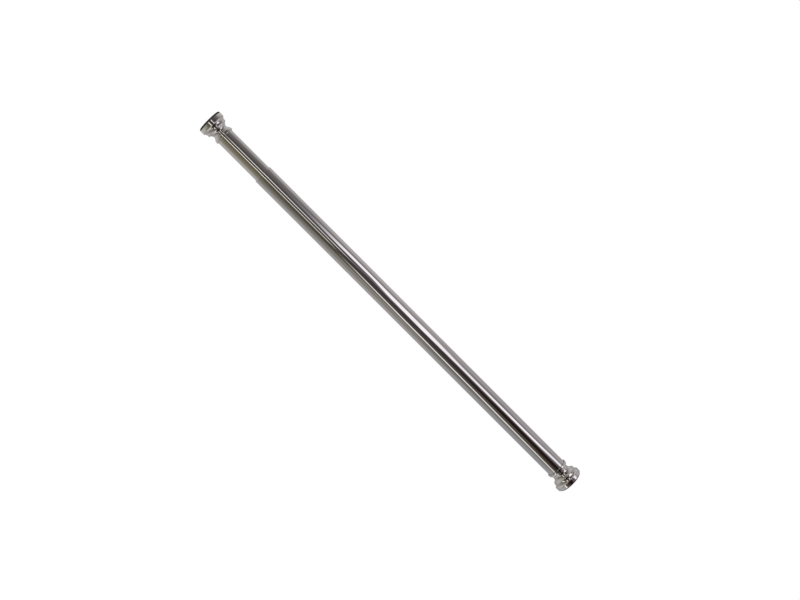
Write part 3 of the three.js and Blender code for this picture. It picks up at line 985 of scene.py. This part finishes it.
def tent_material(name):
    """The tent's cloth, which glows with its own colour."""
    material, tree, surface = empty_material(name)
    axes = node(tree, "ShaderNodeSeparateXYZ", Vector=object_place(tree)).outputs
    colour = closed_ends(tree, axes, striped_wall(tree, axes))
    glow = node(tree, "ShaderNodeEmission", Color=colour, Strength=1.0)
    tree.links.new(glow.outputs["Emission"], surface)
    material.cycles.emission_sampling = "NONE"
    return material


# %% [markdown]
# ### Hanging the tent
#
# The tent is one cylinder with closed ends. It is hidden from every kind of ray but the glossy
# ones, and no body of the bar carries it.

# %% Tent
bpy.ops.object.select_all(action="DESELECT")
bpy.ops.mesh.primitive_cylinder_add(
    vertices=TENT_SIDES,
    radius=TENT_RADIUS,
    depth=2 * TENT_HALF_LENGTH,
    end_fill_type="NGON",
    rotation=(0, math.pi / 2, 0),
)
tent = bpy.context.active_object
tent.name = "light_tent"
bpy.ops.object.transform_apply(location=True, rotation=True, scale=True)
tent.data.materials.append(tent_material("tent_wall"))
tent.visible_camera = False
tent.visible_diffuse = False
tent.visible_shadow = False
tent.visible_transmission = False
tent.visible_volume_scatter = False
print("tent: %d faces" % len(tent.data.polygons))

# %% [markdown]
# ## The floor
#
# The bar hangs at the height of a door frame over a pale floor. To the lens the floor is almost
# pure white, and still takes a share of the bar's faint shadow. Mixing a matt shader with a
# glowing one sets that share.

# %% Floor
FLOOR_DROP = 2.05
FLOOR_SIZE = 120.0
FLOOR_TONE = (0.9, 0.9, 0.9, 1)
FLOOR_GLOW = 1.12
FLOOR_WHITE_SHARE = 0.85
WHITE = (1, 1, 1, 1)


def looking_rays(tree):
    """1 for the rays that look at a thing, straight, off metal or through glass, else 0."""
    rays = tree.nodes.new("ShaderNodeLightPath").outputs
    looking = calc(tree, "MAXIMUM", rays["Is Camera Ray"], rays["Is Glossy Ray"])
    return calc(tree, "MAXIMUM", looking, rays["Is Transmission Ray"])


def floor_material():
    """Pale floor: white to the lens apart from a share of the shadow, and matt to all else."""
    material, tree, surface = empty_material("pale_floor")
    matt = node(tree, "ShaderNodeBsdfDiffuse", Color=FLOOR_TONE)
    white = node(tree, "ShaderNodeEmission", Color=WHITE, Strength=FLOOR_GLOW)
    share = calc(tree, "MULTIPLY", looking_rays(tree), FLOOR_WHITE_SHARE)
    both = node(tree, "ShaderNodeMixShader", Fac=share)
    tree.links.new(matt.outputs["BSDF"], both.inputs[1])
    tree.links.new(white.outputs["Emission"], both.inputs[2])
    tree.links.new(both.outputs["Shader"], surface)
    return material


bpy.ops.object.select_all(action="DESELECT")
bpy.ops.mesh.primitive_plane_add(size=FLOOR_SIZE, location=(0, 0, -FLOOR_DROP))
floor = bpy.context.active_object
floor.name = "floor"
bpy.ops.object.transform_apply(location=True, rotation=True, scale=True)
floor.data.materials.append(floor_material())
print("floor: %.2f m under the bar" % FLOOR_DROP)

# %% [markdown]
# ## The world
#
# The world is plain white to the lens. Matt surfaces get a weaker and even light from it, so
# that the lamps can still shape them.

# %% World
SKY_ON_MATT = 0.55

world = bpy.data.worlds.new("studio")
world.use_nodes = True
bpy.context.scene.world = world
tree = world.node_tree
sky = tree.nodes["Background"]
sky.inputs["Color"].default_value = WHITE
strength = ramped(tree, looking_rays(tree), 0.0, 1.0, SKY_ON_MATT, 1.0)
tree.links.new(strength, sky.inputs["Strength"])
print("world: white, and %.2f on matt surfaces" % SKY_ON_MATT)

# %% [markdown]
# ## The lamps
#
# Three soft lamps serve the matt pieces and the shadow on the floor: one from the upper left,
# a weaker one from the right, and one from behind. The metal has its tent and doesn't see them.

# %% Lamps
def soft_lamp(name, place, size, power):
    """A square lamp that faces the bar's middle and doesn't show in the metal."""
    bpy.ops.object.light_add(type="AREA", location=place)
    lamp = bpy.context.active_object
    lamp.name = name
    lamp.data.size = size
    lamp.data.energy = power
    lamp.rotation_euler = (-Vector(place)).to_track_quat("-Z", "Y").to_euler()
    lamp.visible_glossy = False
    lamp.visible_camera = False
    print("%s: %.0f W" % (name, power))


soft_lamp("key_lamp", (-1.2, -1.6, 1.8), 1.2, 22.0)
soft_lamp("fill_lamp", (1.6, -1.2, 0.6), 1.4, 10.0)
soft_lamp("back_lamp", (0.4, 1.8, 1.4), 1.2, 10.0)
